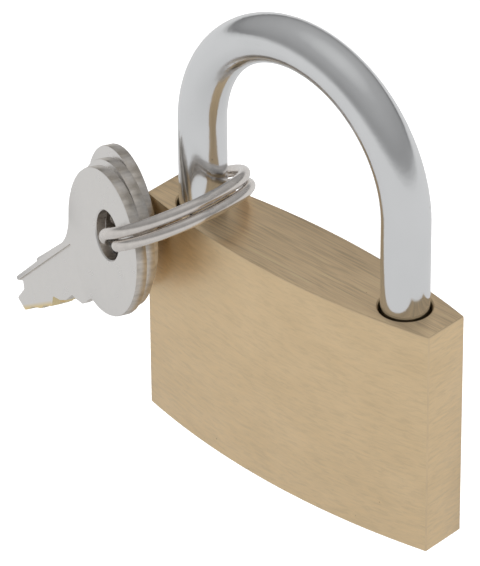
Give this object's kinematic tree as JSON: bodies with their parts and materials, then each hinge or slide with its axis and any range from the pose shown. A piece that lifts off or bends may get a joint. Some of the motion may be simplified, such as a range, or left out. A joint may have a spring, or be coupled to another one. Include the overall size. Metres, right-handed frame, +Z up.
{
  "type": "padlock",
  "caption": "Solid brass padlock with arched faces and a round chromed shackle, carrying keys on a split ring.",
  "frame": {"origin": "the inside of the shackle at its crown, the point the closed padlock hangs from", "axes": "+Z up along the shackle legs, +X along the width from the short leg to the long leg, +Y from the front face to the back face"},
  "size_m": [0.0613, 0.0176, 0.055],
  "materials": {
    "brass": "satin brushed",
    "brass_bright": "turned",
    "chrome": "polished plate",
    "nickel": "satin nickel plate",
    "ring_steel": "bright nickel plated spring wire",
    "spring_steel": "hardened, plain"
  },
  "bodies": {
    "lock_body": {"body": "brass", "plug_retaining_pin": "spring_steel", "shackle_retaining_pin": "spring_steel", "cross_bore_plug": "brass", "shackle_spring": "spring_steel", "chamber_cap_1": "brass", "chamber_cap_2": "brass", "chamber_cap_3": "brass", "chamber_cap_4": "brass"},
    "shackle": {"shackle": "chrome"},
    "cylinder": {"cylinder_plug": "brass_bright", "plug_cam": "spring_steel"},
    "toe_bolt": {"toe_bolt": "spring_steel"},
    "heel_bolt": {"heel_bolt": "spring_steel"},
    "driver_1": {"driver_pin_1": "brass_bright", "pin_spring_1": "spring_steel"},
    "key_pin_1": {"key_pin_1": "brass_bright"},
    "driver_2": {"driver_pin_2": "brass_bright", "pin_spring_2": "spring_steel"},
    "key_pin_2": {"key_pin_2": "brass_bright"},
    "driver_3": {"driver_pin_3": "brass_bright", "pin_spring_3": "spring_steel"},
    "key_pin_3": {"key_pin_3": "brass_bright"},
    "driver_4": {"driver_pin_4": "brass_bright", "pin_spring_4": "spring_steel"},
    "key_pin_4": {"key_pin_4": "brass_bright"},
    "ring": {"split_ring": "ring_steel"},
    "key_1": {"key_1": "nickel"},
    "key_2": {"key_2": "nickel"},
    "key_3": {"key_3": "nickel"}
  },
  "joints": [
    {"name": "shackle_lift", "type": "slide", "parent": "lock_body", "child": "shackle", "axis": [0, 0, 1], "range_m": [0, 0.0095], "deforming": ["shackle_spring"]},
    {"name": "plug_turn", "type": "hinge", "parent": "lock_body", "child": "cylinder", "pos_m": [0, 0, -0.0418], "axis": [0, 0, 1], "range_deg": [-90, 0]},
    {"name": "toe_bolt_slide", "type": "slide", "parent": "lock_body", "child": "toe_bolt", "axis": [1, 0, 0], "range_m": [-0.0015, 0]},
    {"name": "heel_bolt_slide", "type": "slide", "parent": "lock_body", "child": "heel_bolt", "axis": [-1, 0, 0], "range_m": [-0.0015, 0]},
    {"name": "driver_pin_slide_1", "type": "slide", "parent": "lock_body", "child": "driver_1", "axis": [-1, 0, 0], "range_m": [0, 0.0008], "stiffness_N_per_m": 40, "springref_m": -0.002},
    {"name": "key_pin_slide_1", "type": "slide", "parent": "cylinder", "child": "key_pin_1", "axis": [0, 1, 0], "range_m": [0, 0.0007]},
    {"name": "driver_pin_slide_2", "type": "slide", "parent": "lock_body", "child": "driver_2", "axis": [-1, 0, 0], "range_m": [0, 0.0008], "stiffness_N_per_m": 40, "springref_m": -0.002},
    {"name": "key_pin_slide_2", "type": "slide", "parent": "cylinder", "child": "key_pin_2", "axis": [0, 1, 0], "range_m": [0, 0.0007]},
    {"name": "driver_pin_slide_3", "type": "slide", "parent": "lock_body", "child": "driver_3", "axis": [-1, 0, 0], "range_m": [0, 0.0008], "stiffness_N_per_m": 40, "springref_m": -0.002},
    {"name": "key_pin_slide_3", "type": "slide", "parent": "cylinder", "child": "key_pin_3", "axis": [0, 1, 0], "range_m": [0, 0.0007]},
    {"name": "driver_pin_slide_4", "type": "slide", "parent": "lock_body", "child": "driver_4", "axis": [-1, 0, 0], "range_m": [0, 0.0008], "stiffness_N_per_m": 40, "springref_m": -0.002},
    {"name": "key_pin_slide_4", "type": "slide", "parent": "cylinder", "child": "key_pin_4", "axis": [0, 1, 0], "range_m": [0, 0.0007]},
    {"name": "ring_tilt", "type": "hinge", "parent": "lock_body", "child": "ring", "pos_m": [-0.0143, 0, -0.0198], "axis": [0, 1, 0], "range_deg": [0, 12]},
    {"name": "key_swing_1", "type": "hinge", "parent": "ring", "child": "key_1", "pos_m": [-0.02094, -0.00708, -0.02628], "axis": [-0.3225, -0.942, 0.0924], "range_deg": [-35, 35]},
    {"name": "key_swing_2", "type": "hinge", "parent": "ring", "child": "key_2", "pos_m": [-0.02194, -0.0047, -0.0268], "axis": [-0.3407, -0.9361, 0.0872], "range_deg": [-35, 35]},
    {"name": "key_swing_3", "type": "hinge", "parent": "ring", "child": "key_3", "pos_m": [-0.02363, -0.00224, -0.02686], "axis": [-0.3758, -0.9254, 0.0489], "range_deg": [-35, 35]}
  ],
  "couplings": [
    {"joint": "plug_turn", "follows": "toe_bolt_slide", "rad_per_m": 1047.2},
    {"joint": "heel_bolt_slide", "follows": "toe_bolt_slide", "ratio": 1}
  ]
}
